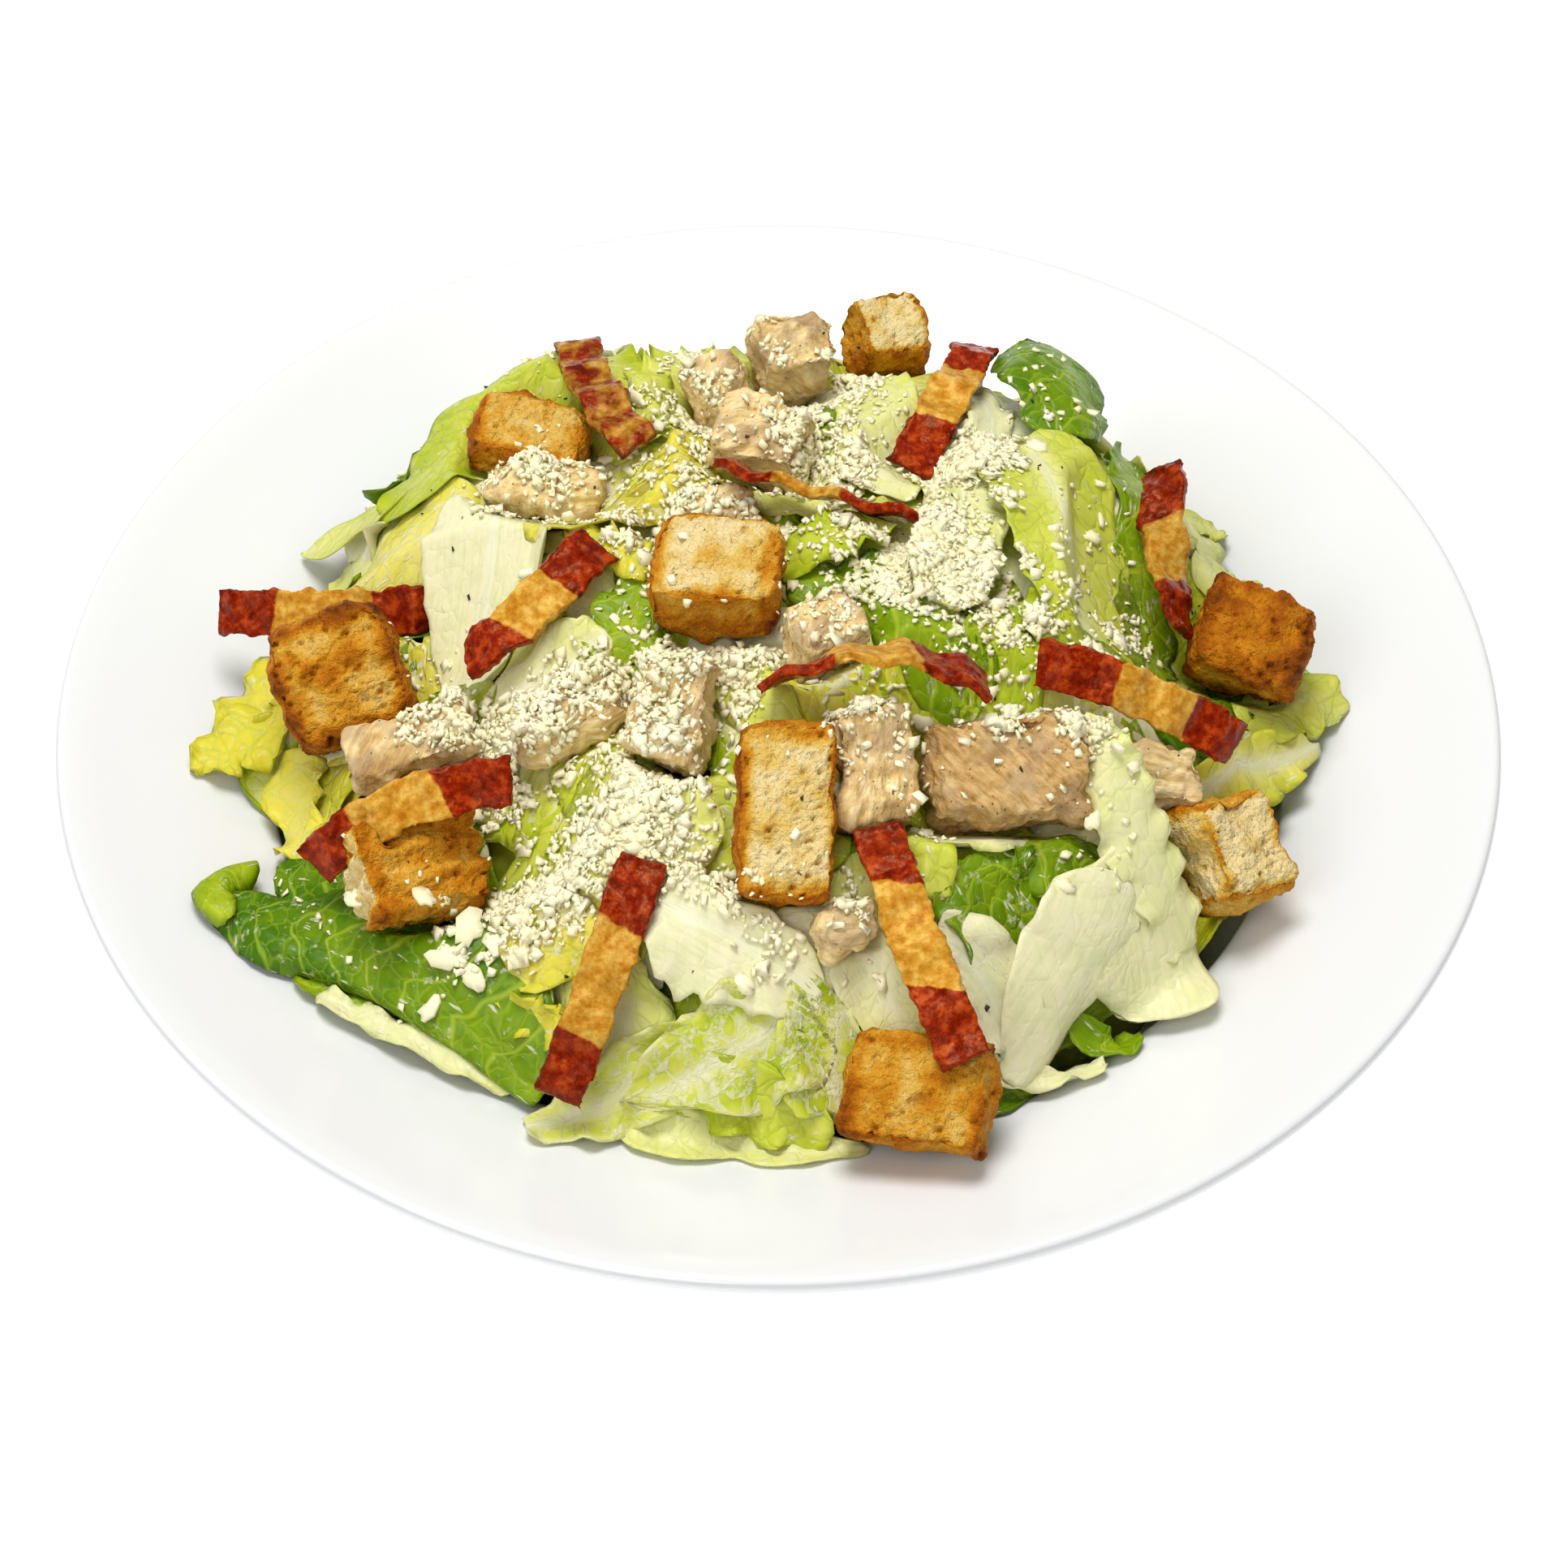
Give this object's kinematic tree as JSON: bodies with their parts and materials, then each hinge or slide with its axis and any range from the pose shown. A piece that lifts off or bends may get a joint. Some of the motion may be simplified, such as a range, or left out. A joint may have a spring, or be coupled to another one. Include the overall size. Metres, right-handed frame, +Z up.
{
  "type": "chicken caesar salad",
  "caption": "Chicken caesar salad of dressed romaine, croutons, bacon strips, chicken chunks and grated cheese, heaped in a wide-rimmed white bowl.",
  "frame": {"origin": "centre of the bowl's underside, on the plane of its foot", "axes": "+Z up, -Y towards the diner's side, +X to the diner's right"},
  "size_m": [0.2798, 0.2798, 0.0961],
  "materials": {
    "bowl": "smooth white glaze",
    "romaine": "crisp leaves wet with creamy dressing",
    "crouton": "rough toasted bread with a pale crumb",
    "bacon": "fried, red meat and amber fat, slightly oily",
    "chicken": "grilled, fibrous, with black pepper"
  },
  "bodies": {
    "root": {"bacon_back_left": "bacon", "bacon_back_right": "bacon", "bacon_behind_top": "bacon", "bacon_far_left": "bacon", "bacon_front": "bacon", "bacon_front_left": "bacon", "bacon_front_right": "bacon", "bacon_left": "bacon", "bacon_middle": "bacon", "bacon_right": "bacon", "bacon_right_back": "bacon", "bowl": "bowl", "chicken_back": "chicken", "chicken_back_small": "chicken", "chicken_behind_top": "chicken", "chicken_beside_slab": "chicken", "chicken_far_right": "chicken", "chicken_front_small": "chicken", "chicken_left": "chicken", "chicken_left_back": "chicken", "chicken_middle": "chicken", "chicken_middle_left": "chicken", "chicken_right": "chicken", "chicken_under_top": "chicken", "chicken_white": "chicken", "crouton_back": "crouton", "crouton_back_left": "crouton", "crouton_front": "crouton", "crouton_front_left": "crouton", "crouton_front_right": "crouton", "crouton_left": "crouton", "crouton_right": "crouton", "crouton_slab": "crouton", "crouton_top": "crouton", "salad_heap": "romaine"}
  },
  "joints": []
}
